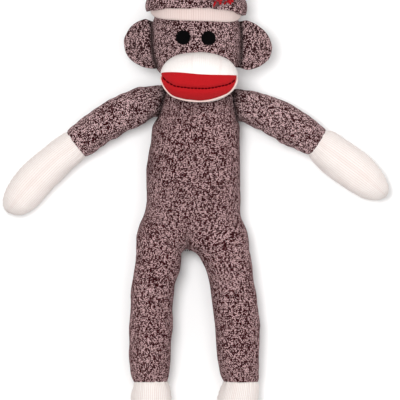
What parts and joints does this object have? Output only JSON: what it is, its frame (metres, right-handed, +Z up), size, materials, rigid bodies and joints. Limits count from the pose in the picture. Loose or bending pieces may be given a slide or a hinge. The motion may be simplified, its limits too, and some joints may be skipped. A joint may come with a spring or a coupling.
{
  "type": "stuffed monkey",
  "caption": "Knitted stuffed monkey lying on its back, with bendable limbs, a flopping pom-pom hat, round muzzle and a tail tucked under one leg.",
  "frame": {"origin": "on the floor under the middle of the torso, where the back rests", "axes": "+Z up out of the belly, +Y from the feet to the head, +X to the side of the monkey's own left hand"},
  "size_m": [0.4239, 0.5238, 0.1172],
  "materials": {
    "brown_knit": "matte",
    "cream_knit": "matte",
    "red_knit": "matte",
    "fibre_filling": "matte",
    "dark_thread": "matte",
    "black_embroidery": "matte",
    "pom_yarn": "matte"
  },
  "bodies": {
    "torso": {"torso_cover": "brown_knit", "torso_stuffing": "fibre_filling", "back_seam_stitches": "dark_thread"},
    "neck": {"neck_stuffing": "fibre_filling", "neck_gathering_thread": "dark_thread"},
    "head": {"head_cover": "brown_knit", "head_stuffing": "fibre_filling", "muzzle_cover": "cream_knit", "muzzle_stuffing": "fibre_filling", "lips": "red_knit", "mouth_stitches": "dark_thread", "left_eye": "black_embroidery", "right_eye": "black_embroidery", "hat_band": "cream_knit", "hat_crown": "brown_knit"},
    "left_ear": {"left_ear": "brown_knit"},
    "right_ear": {"right_ear": "brown_knit"},
    "pom_pom": {"pom_pom": "pom_yarn", "pom_pom_tie": "cream_knit"},
    "left_shoulder": {"left_shoulder": "brown_knit", "left_shoulder_stuffing": "fibre_filling"},
    "left_upper_arm": {"left_upper_arm": "brown_knit", "left_upper_arm_stuffing": "fibre_filling"},
    "left_forearm": {"left_forearm": "brown_knit", "left_forearm_stuffing": "fibre_filling"},
    "left_hand": {"left_wrist": "brown_knit", "left_hand": "cream_knit", "left_hand_stuffing": "fibre_filling"},
    "right_shoulder": {"right_shoulder": "brown_knit", "right_shoulder_stuffing": "fibre_filling"},
    "right_upper_arm": {"right_upper_arm": "brown_knit", "right_upper_arm_stuffing": "fibre_filling"},
    "right_forearm": {"right_forearm": "brown_knit", "right_forearm_stuffing": "fibre_filling"},
    "right_hand": {"right_wrist": "brown_knit", "right_hand": "cream_knit", "right_hand_stuffing": "fibre_filling"},
    "left_thigh": {"left_thigh": "brown_knit", "left_thigh_stuffing": "fibre_filling"},
    "left_shin": {"left_shin": "brown_knit", "left_shin_stuffing": "fibre_filling"},
    "left_foot": {"left_ankle": "brown_knit", "left_foot": "cream_knit", "left_foot_stuffing": "fibre_filling"},
    "right_thigh": {"right_thigh": "brown_knit", "right_thigh_stuffing": "fibre_filling"},
    "right_shin": {"right_shin": "brown_knit", "right_shin_stuffing": "fibre_filling"},
    "right_foot": {"right_ankle": "brown_knit", "right_foot": "cream_knit", "right_foot_stuffing": "fibre_filling"},
    "tail_base": {"tail_base": "brown_knit"},
    "tail_end": {"tail_end": "brown_knit", "tail_tip": "cream_knit"}
  },
  "joints": [
    {"name": "neck_turn", "type": "hinge", "parent": "torso", "child": "neck", "pos_m": [0.0044, 0.093, 0.04], "axis": [0, 1, 0], "range_deg": [-25, 25]},
    {"name": "neck_nod", "type": "hinge", "parent": "neck", "child": "head", "pos_m": [0.0044, 0.093, 0.04], "axis": [1, 0, 0], "range_deg": [0, 15]},
    {"name": "left_ear_fold", "type": "hinge", "parent": "head", "child": "left_ear", "pos_m": [-0.05, 0.145, 0.0473], "axis": [0, 1, 0], "range_deg": [-20, 60]},
    {"name": "right_ear_fold", "type": "hinge", "parent": "head", "child": "right_ear", "pos_m": [0.0588, 0.145, 0.0473], "axis": [0, -1, 0], "range_deg": [-20, 60]},
    {"name": "pom_pom_flop", "type": "hinge", "parent": "head", "child": "pom_pom", "pos_m": [0.0272, 0.1956, 0.0865], "axis": [0.9655, -0.208, -0.1567], "range_deg": [-25, 25]},
    {"name": "left_arm_raise", "type": "hinge", "parent": "torso", "child": "left_shoulder", "pos_m": [-0.0495, 0.078, 0.033], "axis": [0, 1, 0], "range_deg": [0, 50]},
    {"name": "left_arm_swing", "type": "hinge", "parent": "left_shoulder", "child": "left_upper_arm", "pos_m": [-0.078, 0.067, 0.031], "axis": [0, 0, -1], "range_deg": [-35, 25]},
    {"name": "left_elbow_bend", "type": "hinge", "parent": "left_upper_arm", "child": "left_forearm", "pos_m": [-0.101, 0.0545, 0.029], "axis": [-0.6247, 0.7809, 0], "range_deg": [0, 50]},
    {"name": "left_wrist_bend", "type": "hinge", "parent": "left_forearm", "child": "left_hand", "pos_m": [-0.121, 0.0385, 0.027], "axis": [-0.5969, 0.8023, 0], "range_deg": [0, 30]},
    {"name": "right_arm_raise", "type": "hinge", "parent": "torso", "child": "right_shoulder", "pos_m": [0.0585, 0.078, 0.033], "axis": [0, -1, 0], "range_deg": [0, 50]},
    {"name": "right_arm_swing", "type": "hinge", "parent": "right_shoulder", "child": "right_upper_arm", "pos_m": [0.085, 0.067, 0.031], "axis": [0, 0, 1], "range_deg": [-35, 25]},
    {"name": "right_elbow_bend", "type": "hinge", "parent": "right_upper_arm", "child": "right_forearm", "pos_m": [0.11, 0.0545, 0.029], "axis": [-0.5812, -0.8137, 0], "range_deg": [0, 50]},
    {"name": "right_wrist_bend", "type": "hinge", "parent": "right_forearm", "child": "right_hand", "pos_m": [0.131, 0.0395, 0.027], "axis": [-0.5873, -0.8094, 0], "range_deg": [0, 30]},
    {"name": "left_hip_bend", "type": "hinge", "parent": "torso", "child": "left_thigh", "pos_m": [-0.0405, -0.107, 0.037], "axis": [-1, 0, 0], "range_deg": [0, 80]},
    {"name": "left_knee_bend", "type": "hinge", "parent": "left_thigh", "child": "left_shin", "pos_m": [-0.0445, -0.158, 0.0355], "axis": [-1, 0, 0], "range_deg": [0, 55]},
    {"name": "left_ankle_bend", "type": "hinge", "parent": "left_shin", "child": "left_foot", "pos_m": [-0.046, -0.212, 0.032], "axis": [-1, 0, 0], "range_deg": [0, 30]},
    {"name": "right_hip_bend", "type": "hinge", "parent": "torso", "child": "right_thigh", "pos_m": [0.042, -0.107, 0.037], "axis": [-1, 0, 0], "range_deg": [0, 80]},
    {"name": "right_knee_bend", "type": "hinge", "parent": "right_thigh", "child": "right_shin", "pos_m": [0.048, -0.158, 0.0355], "axis": [-1, 0, 0], "range_deg": [0, 55]},
    {"name": "right_ankle_bend", "type": "hinge", "parent": "right_shin", "child": "right_foot", "pos_m": [0.0505, -0.212, 0.032], "axis": [-1, 0, 0], "range_deg": [0, 30]},
    {"name": "tail_swing", "type": "hinge", "parent": "torso", "child": "tail_base", "pos_m": [-0.016, -0.08, 0.0058], "axis": [0, 0, 1], "range_deg": [0, 35]},
    {"name": "tail_bend", "type": "hinge", "parent": "tail_base", "child": "tail_end", "pos_m": [-0.034, -0.118, 0.0058], "axis": [0, 0, 1], "range_deg": [-12, 35]}
  ]
}
